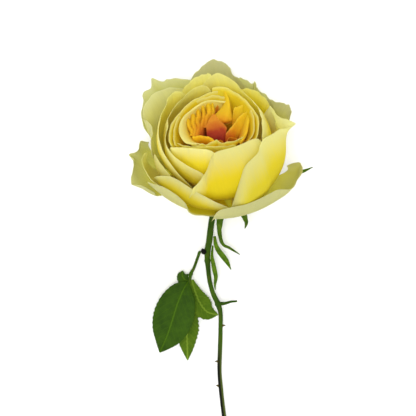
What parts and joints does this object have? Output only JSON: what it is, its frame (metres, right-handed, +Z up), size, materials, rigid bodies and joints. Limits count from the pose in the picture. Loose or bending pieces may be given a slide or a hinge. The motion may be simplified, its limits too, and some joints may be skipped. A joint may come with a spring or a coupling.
{
  "type": "cut rose",
  "caption": "A cut garden rose lying on a flat surface: an open quartered bloom tilted up from a bare curved stem with one divided leaf.",
  "frame": {"origin": "the middle of the footprint, on the surface it lies on", "axes": "+Z up from the surface, +Y from the cut end of the stem toward the bloom"},
  "size_m": [0.1046, 0.2598, 0.0733],
  "materials": {
    "outer_petal": "soft matt, cream green",
    "cup_petal": "soft satin, lemon yellow",
    "inner_petal": "soft satin, gold",
    "heart_petal": "soft satin, orange",
    "sepal": "matt green",
    "stem": "smooth satin green bark",
    "leaf": "satin leaf green"
  },
  "bodies": {
    "root": {"guard_left": "outer_petal", "guard_front_right": "outer_petal", "guard_top_right": "outer_petal", "guard_front_left": "outer_petal", "guard_top": "outer_petal", "guard_right": "outer_petal", "guard_top_left": "outer_petal", "low_left": "cup_petal", "outer_front_left": "cup_petal", "cup_right": "cup_petal", "cup_front_right": "cup_petal", "cup_left": "cup_petal", "cup_back_left": "cup_petal", "low_left_inner": "cup_petal", "cup_front": "cup_petal", "left_2": "cup_petal", "cup_back_right": "cup_petal", "left_3": "cup_petal", "front_left": "cup_petal", "rim_left_1": "inner_petal", "rim_left_2": "inner_petal", "rim_left_3": "inner_petal", "rim_right_1": "inner_petal", "rim_right_2": "inner_petal", "rim_front_1": "inner_petal", "rim_front_2": "inner_petal", "twist_top": "inner_petal", "loop_top": "heart_petal", "fold_right_1": "inner_petal", "fold_right_2": "inner_petal", "fold_right_3": "inner_petal", "fold_left_1": "inner_petal", "fold_left_2": "inner_petal", "fold_left_3": "inner_petal", "fold_left_4": "heart_petal", "fold_left_5": "heart_petal", "fold_left_6": "heart_petal", "heart": "heart_petal", "fold_front_1": "heart_petal", "fold_front_2": "heart_petal", "fold_front_3": "heart_petal", "flower_core": "heart_petal", "hip": "sepal", "sepal_long": "sepal", "sepal_front_right": "sepal", "sepal_right": "sepal", "sepal_back": "sepal", "sepal_left": "sepal", "stem": "stem", "leaf_stalk": "stem", "leaflet_end": "leaf", "leaflet_under": "leaf", "leaflet_right": "leaf", "leaflet_small": "leaf", "bract_right": "leaf", "bract_left": "leaf"}
  },
  "joints": []
}
